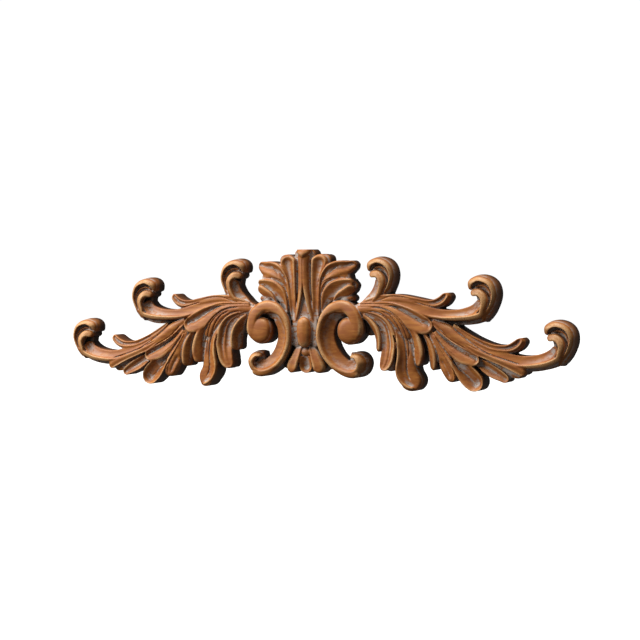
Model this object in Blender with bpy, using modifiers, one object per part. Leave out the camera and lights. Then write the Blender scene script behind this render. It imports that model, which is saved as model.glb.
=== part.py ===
"""Carved wood overdoor ornament: two leafy scrolls that spring from a central palmette.

The work is one piece of wood, carved in relief and flat behind. It is set out here as a carver would
draw it on the board: every leaf, lobe and scroll is one blade that follows its own line, and the blades
overlap and grow into one solid. Only the right half is drawn, and it is mirrored.

The ornament hangs on a wall. X runs along the wall, Z is up, and the wall is the plane Y = 0.
A height is measured out of the wall, towards -Y. The drawing is in millimetres.
"""

import bmesh
import bpy
import numpy as np

MM = 0.001

# Driving sizes of the whole work. The drawing below is scaled to fill them exactly.
WIDTH = 744.2
DEPTH = 30.5
HEIGHT = 185.4

# How finely a blade is drawn, how finely the blades are fused, how much of that skin is kept, how deep
# the blades start in the wall, and how near the middle line a corner counts as lying on it.
ALONG_STEP = 3.0
ACROSS_CELLS = 10
FUSE_SIZE = 1.3
KEPT_SHARE = 0.0205
BEHIND_WALL = 3.0
SEAM = 0.00001

# The edge of a blade is eased a little, and its end closes to this share of its width.
EDGE_EASE = 1.0
EASED_FROM = 0.7
NARROWEST = 0.15

# Sections: how far the wood lies below the crest, from a blade's left edge to its right edge.
ROLL = (6, 2.2, 0.5, 0, 0.5, 2.2, 6)
BAND = (2.2, 0.3, 0, 0.3, 1.0, 2.6, 6.5)
CURL_BAND = (0.5, 0, 0.2, 0.8, 2.2, 5, 10, 20)
TONGUE = (0.5, 0, 0.6, 1.6, 3.0, 5.0, 8)
EYE = (7, 3.2, 1.3, 0.3, 0, 0.3, 1.3, 3.2, 7)
BEAD = (10, 4.5, 1.4, 0, 1.4, 4.5, 10)
SCOOP = (0, 2.8, 5.2, 6.0, 5.2, 2.8, 0)
CHANNEL = (0, 1.6, 3.0, 3.8, 3.6, 2.0, 0)
SHALLOW = (0, 1.2, 2.8, 3.2, 2.8, 1.2, 0)
LEFT_CREST = (0.8, 0, 1.6, 3.8, 6.4, 9.5)
SPOON = (0, 3.4, 5.4, 4.6, 2.4, 0.8, 0, 0.6)
TROUGH = (10, 9.4, 8.4, 6.8, 4.2, 0.4, 0)
FOOT = (1, 0, 0.6, 1.8, 3.8, 7, 12, 21)
VEINED = (0, 1.2, 3.4, 5.6, 4.6, 6.8, 7.2, 7.0, 7.2)
HANGING = (7, 6.2, 5.0, 3.8, 4.4, 4.6, 3.0, 1.2, 0)
BROAD = (5, 2, 0.7, 0.3, 0.4, 0.9, 1.2, 0.2)
FLAP = (1.2, 0, 1.0, 2.4, 3.6, 5)
ROOT = (1.2, 0.2, 0, 0.2, 1.2)
FLAT = (0.6, 0, 0, 0, 0.6)


def smooth_rows(rows, count):
    """Rows spaced evenly along a smooth curve through the given rows, and the curve's length."""
    rows = np.array(rows, float)
    ends = np.vstack([2 * rows[0] - rows[1], rows, 2 * rows[-1] - rows[-2]])
    fine = []
    for a, b, c, d in zip(ends, ends[1:], ends[2:], ends[3:]):
        for t in np.linspace(0, 1, 16, endpoint=False):
            fine.append(0.5 * (2 * b + (c - a) * t + (2 * a - 5 * b + 4 * c - d) * t**2
                               + (3 * b - a - 3 * c + d) * t**3))
    fine.append(rows[-1])
    fine = np.array(fine)
    steps = np.hypot(*np.diff(fine[:, :2], axis=0).T)
    travelled = np.concatenate([[0], np.cumsum(steps)])
    wanted = np.linspace(0, travelled[-1], count)
    return np.stack([np.interp(wanted, travelled, column) for column in fine.T], axis=1), travelled[-1]


def drop_at(section, across):
    """How far below the crest a section lies at across, from 1 at its left edge to -1 at its right."""
    places = np.linspace(-1, 1, len(section))
    return np.interp(across, places, section[::-1])


def closing_at(along, rows, length, round_root):
    """How far a blade has closed at along: 0 on its body, rising to 1 at its tip, and at a round root."""
    tip_reach = min(0.45, rows[-1][2] / length)
    closed = max(0.0, (along - 1 + tip_reach) / tip_reach)
    if round_root:
        root_reach = min(0.45, rows[0][2] / length)
        closed = max(closed, (root_reach - along) / root_reach)
    return min(1.0, closed)


def blade(section, *rows, round_root=False):
    """One blade as a closed mesh. Each row, from root to tip, is x, z, half width and crest height, and a
    fifth number where the section is cut deeper there than drawn, or shallower."""
    rows = [tuple(row) + (1,) * (5 - len(row)) for row in rows]
    length = np.hypot(*np.diff(np.array(rows)[:, :2], axis=0).T).sum()
    cells = max(6, round(length / ALONG_STEP))
    rows, length = smooth_rows(rows, cells + 1)
    heading = np.gradient(rows[:, :2], axis=0)
    heading /= np.linalg.norm(heading, axis=1, keepdims=True)
    bm = bmesh.new()
    bmesh.ops.create_grid(bm, x_segments=cells, y_segments=ACROSS_CELLS, size=0.5)
    for vert in bm.verts:
        along, across = vert.co.x + 0.5, 2 * vert.co.y
        row = round(along * cells)
        x, z, half_width, crest, cut_depth = rows[row]
        left = np.array([-heading[row][1], heading[row][0]])
        closed = closing_at(along, rows, length, round_root)
        outward = np.hypot(across * np.sqrt(1 - closed**2), closed)
        share = 0.5 + 0.5 * across * np.sqrt(1 - closed**2) / max(outward, 0.001)
        drop = share * drop_at(section, outward) + (1 - share) * drop_at(section, -outward)
        drop *= cut_depth
        drop += EDGE_EASE * max(0.0, (outward - EASED_FROM) / (1 - EASED_FROM)) ** 3
        reach = half_width * max(NARROWEST, np.sqrt(1 - closed**2))
        place = np.array([x, z]) + left * across * reach
        vert.co = (place[0] * MM, (drop - crest) * MM, place[1] * MM)
    made = bmesh.ops.extrude_face_region(bm, geom=bm.faces[:])
    for vert in made["geom"]:
        if isinstance(vert, bmesh.types.BMVert):
            vert.co.y = BEHIND_WALL * MM
    bmesh.ops.recalc_face_normals(bm, faces=bm.faces[:])
    mesh = bpy.data.meshes.new("blade")
    bm.to_mesh(mesh)
    bm.free()
    return mesh


def curl(top_x, top_z, tall, low, ridge, channel, underside):
    """A hooked curl below its top point, on its stem's rows. It is stretched in height by one factor
    and lies lower than the middle curl by some mm."""

    def placed(*rows):
        return [(top_x + x, top_z + z * tall, half_width, crest - low) for x, z, half_width, crest in rows]

    band = placed((9, -58.5, 2.5, 24), (17.2, -54, 3, 26), (22, -45, 3.3, 27), (25.2, -36, 3.4, 27.3),
                  (26, -29.5, 3.5, 27.4), (25, -21.5, 4, 27.6), (22.7, -16.2, 4.6, 27.8),
                  (17.3, -10.2, 5.1, 28), (9.9, -6.2, 5.7, 28), (2.3, -6, 5.7, 27.8),
                  (-4, -8.6, 5.6, 26.5), (-11, -14.8, 5, 21))
    tongue = placed((-3.5, -54.5, 3.4, 29.5), (5.3, -51.1, 4.6, 30.2), (10.5, -45.5, 5.4, 30.4),
                    (12.9, -38, 6, 30.2), (11.8, -31.5, 6.7, 29.7), (7.3, -25.7, 6.9, 28.8),
                    (1.3, -24.6, 6.2, 27), (-6.5, -26.6, 4.5, 21))
    floor = placed((16, -50, 3, 21), (20.3, -38, 3.2, 22), (20.6, -27, 4, 20.5), (15.5, -17.5, 5, 18.5),
                   (6, -14.5, 4.5, 17.5), (-4, -19, 4.5, 16))
    hook = placed((3, -52, 6, 15), (7, -40, 8, 15), (6, -27, 8.5, 15), (3, -19, 6, 15),
                  (-5, -14.5, 4, 15))
    return [blade(CURL_BAND, *band), blade(TONGUE, *ridge, *tongue), blade(CHANNEL, *channel),
            blade(FLAT, *floor), blade(FLAT, *underside), blade(FLAT, *hook)]


def palmette():
    """The standing leaf on the middle line, its folded tip, and the lobes beside it."""
    return [
        blade(SCOOP, (8.2, 90.3, 7.6, 22.5, 0.8), (6, 84, 6, 25, 0.7), (4.3, 76, 4.4, 26.5, 0.7),
              (4, 60, 4.2, 26.5, 0.7), (4, 42, 4, 26.5, 0.7), (5, 28, 3.2, 26, 0.6),
              (7.5, 16, 2.6, 25.5, 0.4), (10.5, 8, 2.2, 24.5, 0.3), (14, -2, 1.8, 22, 0.2)),
        blade(ROLL, (0, 92.65, 11.5, 26), (0, 88, 9.5, 28.5), (0, 84, 5.5, 28.5), (0, 80, 1.5, 26)),
        blade(SCOOP, (16, -4, 3, 20, 0.5), (16.5, 15, 4.8, 22, 0.6), (17, 35, 5.4, 23.5, 0.7),
              (18.5, 52, 6.8, 24.5), (21, 66, 8.8, 24.8), (23.5, 77, 10.6, 24.8, 1.1),
              (25, 87.5, 10.5, 24, 1.1)),
        blade(SCOOP, (19, 36, 3, 22, 0.6), (25, 50, 5.5, 24), (33.5, 60, 9, 24.5, 1.1),
              (46, 65.8, 11, 23.8, 1.1), (59, 67, 9.8, 21, 0.6), (73.5, 71.5, 5.5, 18, 0.2)),
        blade(SCOOP, (24, 6, 3, 21, 0.6), (27.5, 20, 4, 22.5, 0.8), (31, 30, 5.5, 24),
              (37, 38.5, 7.5, 24.5, 1.1), (47, 43.5, 8.3, 24), (60, 46.5, 6.8, 21.5, 0.7),
              (73.5, 47.5, 4.5, 18, 0.3)),
        blade(FLAP, (40, 18, 3, 20), (46, 28, 5, 23), (55, 34.5, 6.5, 23.5), (65, 38.5, 6.5, 21.5),
              (74.5, 41.5, 5.5, 18)),
        blade(ROLL, (48, 20, 4, 20), (59, 27, 5, 20), (71, 27.5, 5.5, 18)),
    ]


def middle():
    """The bead between the scrolls, its collar and the small calyx that hangs under it."""
    return [
        blade(BEAD, (0, -1, 8, 24), (0, -16, 11.5, 28), (0, -37.5, 8, 24), round_root=True),
        blade(ROLL, (0, -37, 11, 18), (0, -44, 11, 22), (0, -52, 9, 21)),
        blade(SCOOP, (0, -50, 7, 22, 0.6), (0, -60, 9, 22), (0, -72.5, 9, 21)),
        blade(ROLL, (8, -38, 5, 20), (14, -48, 7, 22.5), (19, -60, 8.6, 22.5), (22.5, -71.5, 7.5, 21.5)),
    ]


def c_scroll():
    """The big C scroll: a rolled eye, a band over the top, a narrow outer rim and a hooked foot."""
    return [
        blade(EYE, (64.5, 3, 17.5, 30), (64.5, -14.5, 17.5, 30.5), (64.5, -32, 17.5, 30),
              round_root=True),
        blade(BAND, (70, -27, 8, 28), (77, -10, 8.5, 29.5), (73.5, 8, 8.3, 29.5), (59, 17.8, 7.6, 28.5),
              (43, 15.5, 7, 29), (29.5, 4.5, 4.5, 29.5), (22.5, -12, 3, 29.5), (22, -30, 2.8, 29),
              (28.5, -48, 2.8, 28), (41.5, -63, 3, 27), (56, -71.8, 3.8, 26), (69, -74, 4.4, 26),
              (80, -70, 5, 26)),
        blade(TROUGH, (66, 5, 3, 24), (54, 6, 5, 27), (42, 3.5, 8.5, 28.3), (33.5, -10, 9.8, 28.8),
              (31.8, -25, 10.3, 28.8), (36.5, -42, 10.8, 28.5), (47, -55.5, 10, 27.5),
              (62, -63.5, 8.5, 26.5)),
        blade(FOOT, (58, -74, 3, 25), (71, -73.3, 5, 26), (80.5, -68, 6.3, 27), (84, -58, 6.8, 28),
              (80, -50.5, 6.2, 28), (73, -47.3, 4, 27), (65.5, -48.5, 3, 23)),
        blade(FLAT, (60, -66, 8, 19), (70, -63, 9, 19.5), (75, -58, 7, 19)),
    ]


def leaves():
    """The leaves that fan out from behind the C scroll, from the lobe beside it to the long leaf."""
    return [
        blade(LEFT_CREST, (88, 3, 3, 25, 0.6), (97, -7, 5.5, 26), (104, -17, 6.8, 26.5),
              (106.5, -28, 6.6, 26.5), (106, -42.5, 5.6, 26)),
        blade(VEINED, (86, 8, 2.5, 26, 0.4), (104, 2.5, 5, 27, 0.7), (117, -9, 8, 28),
              (121.8, -30, 10.1, 28.3), (121, -50, 10.5, 28), (116, -68, 8.5, 27)),
        blade(HANGING, (104, 10.5, 2.5, 27, 0.4), (120, 5, 4.5, 27.5, 0.6), (131, -4, 6.5, 28),
              (139, -16, 8.5, 28.3), (145, -30, 10, 28.5), (147.5, -45, 10.7, 28.5), (147, -60, 11.7, 28),
              (150, -76, 12.8, 27), (157, -92.5, 9.5, 26)),
        blade(ROOT, (84, 13, 3, 25.5), (104, 13, 4.5, 26.5), (124, 6, 5.5, 26.5), (140, -7, 7, 26),
              (152, -24, 7, 24)),
        blade(LEFT_CREST, (138, 2, 3, 26, 0.5), (148, -8, 5.5, 27, 0.7), (157, -20, 7, 27.5, 0.75),
              (162.5, -33, 7.2, 28, 0.75), (164.5, -46, 6.7, 28, 0.75), (164, -60.5, 5.5, 27, 0.75)),
        blade(SPOON, (94, 19, 1.5, 25, 0.5), (113.5, 18.5, 3.5, 27, 0.7), (129, 15, 6.3, 27.3),
              (146, 4.5, 10, 27.6), (160, -3.5, 12, 27.6), (174, -9, 11.5, 27.3), (187.5, -10, 9, 26.5)),
        blade(LEFT_CREST, (168, -17, 2.5, 25, 0.6), (174, -28, 5, 26), (178.5, -40, 6.2, 26.8),
              (180.5, -52, 6, 26.8), (181.5, -66, 5, 25.5)),
        blade(SHALLOW, (184, -18, 3, 24, 0.5), (190, -30, 5, 25.5, 0.7), (196, -44, 7.5, 26, 0.7),
              (201, -57, 8.6, 26.5), (206, -68, 9, 27, 1.7), (211, -79.8, 6, 27, 1.7)),
        blade(SCOOP, (187, -20, 2, 26, 0.4), (200, -37, 4, 27.3, 0.7), (213, -51, 7, 28),
              (224, -62, 10.5, 28), (235, -74, 13, 28), (248.5, -88.5, 10.5, 27)),
        blade(SPOON, (190, -18, 3, 25, 0.5), (202, -29, 7, 26), (214, -38, 9.5, 27),
              (228, -46.5, 10.5, 28), (247.5, -54, 6.5, 27.5)),
        blade(SHALLOW, (246, -54, 5, 22), (257, -61, 6.3, 24, 1.3), (268, -67, 6.3, 24.8, 1.3),
              (278, -72.5, 5.8, 25), (286.5, -78, 4.2, 24.5)),
        blade(BROAD, (188, -4, 4, 25), (204, -14, 8, 26.5), (220, -25, 7.6, 27.3),
              (238, -35.7, 6.6, 27.6), (258, -44.8, 5.2, 27.6), (280, -53.6, 5, 27.3),
              (297, -60.5, 6, 27), (308.5, -67, 6, 26.5)),
        blade(SHALLOW, (245, -50, 5, 17), (265, -58, 7.5, 19), (285, -66, 8, 19), (306, -71, 5, 18)),
    ]


def buds():
    """The two buds that turn up from the stems."""
    return [
        blade(SCOOP, (92, 22, 3, 24, 0.3), (112, 27, 4.2, 25, 0.35), (135, 28, 4.6, 25.5, 0.35),
              (158, 23.8, 4.6, 25, 0.35), (176, 21.6, 5, 24.8, 0.5), (188, 24, 6.8, 24.8, 0.8),
              (197, 26.8, 7.7, 24.8, 1.1), (205.5, 28, 7, 24.5, 1.1)),
        blade(SCOOP, (212, -8, 3, 24, 0.3), (228, -19, 4, 24.5, 0.35), (245, -28, 4.6, 25, 0.35),
              (264, -34.3, 4.6, 25, 0.4), (278, -34.6, 5.4, 25, 0.7), (288, -32.3, 6.9, 25, 1.0),
              (296, -30.6, 7.6, 25, 1.1), (303, -30, 7, 24.5, 1.1)),
    ]


def curls():
    """The three hooked curls along the top, each on its stem."""
    upper = curl(102, 82, 1, 2.6,
                 ridge=[(86, 17, 2, 24.5), (95, 23, 2.8, 26)],
                 channel=[(78, 17, 4, 23, 0.3), (86, 21, 4.5, 22.5, 0.5), (94, 27, 5.3, 22.3, 0.6),
                          (100.5, 34.5, 5.3, 22.5, 0.7), (104.5, 42, 5, 23, 0.8),
                          (106.3, 50, 4.3, 22, 0.8)],
                 underside=[(84, 14, 6, 17), (98, 25, 8.5, 16), (107, 36, 9.3, 16), (110, 48, 9, 16)])
    centre = curl(242, 57.2, 1, 0,
                  ridge=[(172, 6.5, 2, 26.5), (190, 2.3, 2.2, 27.3), (206, 0.8, 2.5, 28.5),
                         (222, 1, 3, 29.5)],
                  channel=[(104, 22, 4, 25.5, 0.4), (128, 22, 5, 26, 0.45), (150, 18, 5.5, 26, 0.45),
                           (175, 11, 5.8, 26, 0.6), (196, 6.8, 5.4, 26, 0.8), (216, 7, 5.4, 26, 0.9),
                           (230, 9.8, 6, 26, 1.1), (239, 15, 6.6, 25.5, 1.4), (244, 24.5, 4.8, 24, 1.4)],
                  underside=[(186, -1, 4, 17), (215, -2, 5, 17), (235, -0.5, 6, 18), (250, 6, 6.5, 18),
                             (260, 17, 7, 18)])
    outer = curl(342.7, -0.5, 0.95, 0,
                 ridge=[(290, -57.5, 2, 26), (305, -59.5, 2.6, 28), (322, -58.4, 3.1, 29.5)],
                 channel=[(216, -12, 4, 25, 0.4), (236, -26.5, 5, 25.5, 0.45), (258, -38, 5.4, 25.8, 0.5),
                          (285, -47.5, 5.2, 26, 0.6), (304, -51.3, 5.6, 26, 0.9), (320, -50.5, 5.7, 26),
                          (331, -47.3, 5.7, 26, 1.2), (340, -42, 5.8, 25.5, 1.4),
                          (344.5, -33.5, 4.6, 24, 1.4)],
                 underside=[(296, -59, 5, 17), (315, -60, 5.5, 17), (332, -57, 6, 18),
                            (346, -51, 6.5, 18), (356, -42, 7, 18)])
    return upper + centre + outer


def ground():
    """The low ground that shows, dark, between the leaves."""
    return [
        blade(FLAT, (0, 70, 16, 12), (0, 30, 22, 12), (0, -10, 24, 12), (0, -66, 20, 11)),
        blade(FLAT, (10, 10, 12, 12), (30, 34, 18, 12), (50, 52, 12, 12)),
        blade(FLAT, (24, -30, 10, 12), (30, -58, 8, 12), (36, -66, 5, 12)),
        blade(FLAT, (80, 8, 12, 15), (110, 12, 16, 16), (140, 10, 18, 16), (180, 2, 14, 16)),
        blade(FLAT, (88, 0, 8, 14), (110, -14, 12, 14), (125, -40, 12, 14)),
        blade(FLAT, (110, -5, 14, 14), (138, -18, 18, 14), (150, -40, 18, 14), (155, -56, 12, 14)),
        blade(FLAT, (168, -10, 12, 14), (186, -34, 14, 14), (196, -58, 9, 14)),
        blade(FLAT, (190, -10, 12, 14), (220, -40, 14, 14), (240, -60, 10, 14)),
        blade(FLAT, (200, -10, 8, 14), (245, -38, 9, 14), (290, -54, 7, 14)),
    ]


def joined(name, meshes):
    """One object that holds all the given meshes."""
    bm = bmesh.new()
    for mesh in meshes:
        bm.from_mesh(mesh)
        bpy.data.meshes.remove(mesh)
    whole = bpy.data.meshes.new(name)
    bm.to_mesh(whole)
    bm.free()
    return bpy.data.objects.new(name, whole)


def wood():
    """Brown stained wood with a soft sheen."""
    material = bpy.data.materials.new("stained_wood")
    material.use_nodes = True
    shader = material.node_tree.nodes["Principled BSDF"]
    shader.inputs["Base Color"].default_value = (0.40, 0.13, 0.035, 1)
    shader.inputs["Roughness"].default_value = 0.5
    shader.inputs["Metallic"].default_value = 0.0
    return material


def fused(rough):
    """The rough blades and their mirror image as one skin with few facets, flat at the wall."""
    mirror = rough.modifiers.new("left half", "MIRROR")
    mirror.use_axis = (True, False, False)
    mirror.use_mirror_merge = False
    mirror.merge_threshold = 0.00001
    fuse = rough.modifiers.new("fuse the blades", "REMESH")
    fuse.mode = "VOXEL"
    fuse.voxel_size = FUSE_SIZE * MM
    thin = rough.modifiers.new("keep the main facets", "DECIMATE")
    thin.ratio = KEPT_SHARE
    graph = bpy.context.evaluated_depsgraph_get()
    mesh = bpy.data.meshes.new_from_object(rough.evaluated_get(graph))

    bm = bmesh.new()
    bm.from_mesh(mesh)
    bmesh.ops.triangulate(bm, faces=bm.faces[:])
    everything = bm.verts[:] + bm.edges[:] + bm.faces[:]
    bmesh.ops.bisect_plane(bm, geom=everything, plane_co=(0, 0, 0), plane_no=(0, 1, 0), clear_outer=True)
    rim = [edge for edge in bm.edges if edge.is_boundary]
    bmesh.ops.triangle_fill(bm, edges=rim, use_beauty=True)
    everything = bm.verts[:] + bm.edges[:] + bm.faces[:]
    bmesh.ops.bisect_plane(bm, geom=everything, dist=SEAM, plane_co=(0, 0, 0), plane_no=(-1, 0, 0),
                           clear_outer=True)
    for vert in bm.verts:
        if abs(vert.co.x) < SEAM:
            vert.co.x = 0
    everything = bm.verts[:] + bm.edges[:] + bm.faces[:]
    bmesh.ops.mirror(bm, geom=everything, axis="X", merge_dist=SEAM)
    places = np.array([vert.co for vert in bm.verts])
    low, high = places.min(axis=0), places.max(axis=0)
    grow = np.array([WIDTH, DEPTH, HEIGHT]) * MM / (high - low)
    middle_z = (low[2] + high[2]) / 2
    for vert in bm.verts:
        vert.co = (vert.co.x * grow[0], vert.co.y * grow[1], (vert.co.z - middle_z) * grow[2])
    bmesh.ops.triangulate(bm, faces=bm.faces[:])
    bmesh.ops.recalc_face_normals(bm, faces=bm.faces[:])
    bm.to_mesh(mesh)
    bm.free()
    return mesh


def main():
    for old in list(bpy.data.objects):
        bpy.data.objects.remove(old)
    ornament_parts = bpy.data.collections.new("carved_overdoor_ornament")
    bpy.context.scene.collection.children.link(ornament_parts)

    blades = palmette() + middle() + c_scroll() + leaves() + buds() + curls() + ground()
    rough = joined("rough_blades", blades)
    ornament_parts.objects.link(rough)
    carving = bpy.data.objects.new("carved_ornament", fused(rough))
    carving.data.materials.append(wood())
    ornament_parts.objects.link(carving)
    bpy.data.objects.remove(rough)


main()
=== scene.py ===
# %% [markdown]
# A carved wood overdoor ornament, finished as a photograph of it would show.
# The real one is a single board, sawn to its outline, carved in relief with gouges, stained brown,
# rubbed back on the ridges and waxed. It hangs flat on the wall over a door.
# The solid from the frame gives its true size and place. This lesson carves a finer skin over that
# solid, stroke by stroke, and then gives it its wood finish.

# %% Load the frame
import math

import bpy
import bmesh
import numpy as np
from mathutils import Matrix, Vector


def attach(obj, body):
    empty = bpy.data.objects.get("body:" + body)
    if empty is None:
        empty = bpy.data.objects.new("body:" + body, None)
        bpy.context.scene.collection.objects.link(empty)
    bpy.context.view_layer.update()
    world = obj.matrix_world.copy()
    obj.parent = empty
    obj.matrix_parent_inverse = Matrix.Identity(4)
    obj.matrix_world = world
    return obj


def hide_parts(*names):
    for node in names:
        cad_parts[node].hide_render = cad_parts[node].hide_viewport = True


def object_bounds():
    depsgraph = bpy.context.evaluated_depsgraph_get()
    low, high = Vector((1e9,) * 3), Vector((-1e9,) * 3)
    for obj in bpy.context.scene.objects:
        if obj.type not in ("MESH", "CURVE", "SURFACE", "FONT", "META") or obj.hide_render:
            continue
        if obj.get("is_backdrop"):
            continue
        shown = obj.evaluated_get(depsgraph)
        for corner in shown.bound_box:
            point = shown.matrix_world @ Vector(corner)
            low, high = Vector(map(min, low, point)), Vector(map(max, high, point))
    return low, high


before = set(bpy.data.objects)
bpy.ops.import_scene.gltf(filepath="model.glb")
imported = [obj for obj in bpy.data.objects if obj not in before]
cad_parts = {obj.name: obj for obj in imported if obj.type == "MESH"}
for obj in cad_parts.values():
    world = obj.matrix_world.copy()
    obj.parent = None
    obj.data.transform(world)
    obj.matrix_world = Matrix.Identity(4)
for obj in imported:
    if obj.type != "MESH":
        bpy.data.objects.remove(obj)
cad_low, cad_high = (np.array(corner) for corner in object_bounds())
MM = 0.001
print("solid, mm:", ((cad_high - cad_low) / MM).round(1))

# %% [markdown]
# The camera stands a little over two metres away, off to the right and just above the middle of the
# ornament, and looks through a long lens. Those few numbers were worked out from the real size and
# from how far the mirror halves differ in the photograph, so the view is set by them and nothing is
# shifted afterwards.

# %% Camera
CAMERA_AZIMUTH = math.radians(26.276)
CAMERA_ELEVATION = math.radians(2.069)
CAMERA_ROLL = -0.01373
CAMERA_DISTANCE = 2193.5 * MM
CAMERA_AIM = Vector((12.03, 0, -1.88)) * MM
SENSOR = 36.0
LENS = 92.21


def place_camera():
    backwards = Vector((math.sin(CAMERA_AZIMUTH) * math.cos(CAMERA_ELEVATION),
                        -math.cos(CAMERA_AZIMUTH) * math.cos(CAMERA_ELEVATION),
                        math.sin(CAMERA_ELEVATION)))
    sideways = Vector((0, 0, 1)).cross(backwards).normalized()
    upwards = backwards.cross(sideways)
    level = Matrix((sideways, upwards, backwards)).transposed()
    bpy.ops.object.camera_add(location=CAMERA_AIM + backwards * CAMERA_DISTANCE)
    camera = bpy.context.object
    camera.name = "camera"
    camera.rotation_euler = (level @ Matrix.Rotation(CAMERA_ROLL, 3, "Z")).to_euler()
    camera.data.sensor_width = SENSOR
    camera.data.lens = LENS
    bpy.context.scene.camera = camera


place_camera()
print("camera, mm from the wall:", round(-bpy.context.scene.camera.location.y / MM))

# %% [markdown]
# The carving is drawn as blades. On the real board every leaf, lobe and scroll is one run of the
# gouge: it starts thin, widens, and ends in a rounded or pointed tip, with the same hollow or rounded
# section all the way. So a blade is a line with a width and a height along it, and a section across
# it. It could be sculpted by hand, but a line can be moved when it doesn't match, and its mirror image
# comes free. First come the smooth lines: each blade's rows, and the sections that the blades share.

# %% Smooth lines and sections
ROW_SPAN = 24
SECTION_SPAN = 12


def smooth_curve(points, per_span):
    """A smooth curve through the given points, which may have any number of values each."""
    points = np.array(points, float)
    padded = np.vstack([2 * points[:1] - points[1:2], points, 2 * points[-1:] - points[-2:-1]])
    curve = []
    for a, b, c, d in zip(padded, padded[1:], padded[2:], padded[3:]):
        for t in np.linspace(0, 1, per_span, endpoint=False):
            curve.append(0.5 * (2 * b + (c - a) * t + (2 * a - 5 * b + 4 * c - d) * t**2
                                + (3 * b - a - 3 * c + d) * t**3))
    curve.append(points[-1])
    return np.array(curve)


def even_rows(rows, count):
    """Rows spaced evenly along the smooth curve through the given rows, and the curve's length."""
    curve = smooth_curve(rows, ROW_SPAN)
    steps = np.hypot(*np.diff(curve[:, :2], axis=0).T)
    travelled = np.concatenate([[0], np.cumsum(steps)])
    wanted = np.linspace(0, travelled[-1], count)
    even = np.stack([np.interp(wanted, travelled, column) for column in curve.T], axis=1)
    return even, travelled[-1]


def section(*drops):
    """How far the wood lies below the crest, from a blade's left edge to its right, in mm."""
    return smooth_curve([[drop] for drop in reversed(drops)], SECTION_SPAN)[:, 0]


def drop_at(profile, across):
    return np.interp(across, np.linspace(-1, 1, len(profile)), profile)


ROLL = section(6, 2.2, 0.5, 0, 0.5, 2.2, 6)
BAND = section(2.2, 0.3, 0, 0.2, 0.6, 1.6, 5)
CURL_BAND = section(0, 0.4, 1.1, 2.0, 3.3, 5.5, 10, 20)
TONGUE = section(0.8, 0, 0.2, 0.6, 1.2, 2.4, 6)
EYE = section(7, 2.4, 0.8, 0.3, 0.1, 0, 0.1, 0.3, 0.8, 2.4, 7)
BEAD = section(5, 1.8, 0.5, 0, 0.5, 1.8, 5)
SCOOP = section(0, 2.8, 5.2, 6.0, 5.2, 2.8, 0)
CHANNEL = section(5, 4.9, 4.6, 4.0, 3.0, 1.6, 0)
SHALLOW = section(0, 1.2, 2.8, 3.2, 2.8, 1.2, 0)
LEFT_CREST = section(0.8, 0, 1.6, 3.8, 6.4, 9.5)
SPOON = section(0, 2.2, 4.4, 5.8, 3.0, 1.4, 0.8, 0.4, 0, 0.6)
TROUGH = section(10, 9.4, 8.4, 6.8, 4.2, 0.4, 0)
FOOT = section(1, 0, 0.6, 1.8, 3.8, 7, 12, 21)
VEINED = section(0, 1.2, 3.4, 5.6, 4.6, 6.8, 7.2, 7.0, 7.2)
HANGING = section(13, 8.6, 7, 6.4, 6.0, 5.6, 4.2, 1.6, 0)
BROAD = section(5, 2, 0.7, 0.3, 0.4, 0.9, 1.2, 0.2)
FLAP = section(1.2, 0, 1.0, 2.4, 3.6, 5)
FRONT = section(0.8, 0, 0.2, 0.7, 1.5, 2.8, 5)
LOBE = section(1.6, 0, 1.0, 2.2, 3.4, 4.2, 4.6, 4.6, 3.8, 2.4, 1.2, 2.8, 7)
BEAK = section(1.5, 0, 1.4, 2.8, 3.8, 3.8, 2.8, 1.8, 1.2, 1.0, 1.4, 2.4, 4.5)
STEP = section(1.2, 0, 1.0, 2.0, 3.0, 3.8, 4.4, 4.8, 5)
BUD = section(1.0, 0, 2.0, 3.2, 3.0, 1.4, 0.4, 1.6, 4.5, 8)
PETAL = section(5, 2.6, 1.6, 1.2, 1.0, 0.6, 0, 0.6)
SPREAD = section(0.3, 0, 1.8, 1.2, 1.0, 1.4, 2.2, 3.6, 6)
ROOT = section(1.2, 0.2, 0, 0.2, 1.2)
FLAT = section(0.6, 0, 0, 0, 0.6)
print("a scoop is", round(float(SCOOP.max()), 1), "mm deep")

# %% [markdown]
# Each blade starts as a flat grid. Its points are moved in one go to their place along the line and
# across the section, with the width drawn in round the tip as a thumbnail does. Then the sheet is
# extruded and flattened onto a plane just behind the wall, which gives the sawn edge of the board
# and closes the blade into a solid.

# %% One blade
ALONG_STEP = 1.5
ACROSS_CELLS = 24
FEWEST_ALONG = 8
LONGEST_TIP = 0.45
EDGE_EASE = 0.5
EASED_FROM = 0.86
NARROWEST = 0.12
BEHIND_WALL = 3.0
blades = []


def closing(along, rows, length, round_root):
    """How far each point lies into the rounded tip: 0 on the body and 1 at the very end."""
    tip_reach = min(LONGEST_TIP, rows[-1][2] / length)
    closed = (along - 1 + tip_reach) / tip_reach
    if round_root:
        root_reach = min(LONGEST_TIP, rows[0][2] / length)
        closed = np.maximum(closed, (root_reach - along) / root_reach)
    return np.clip(closed, 0, 1)


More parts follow.
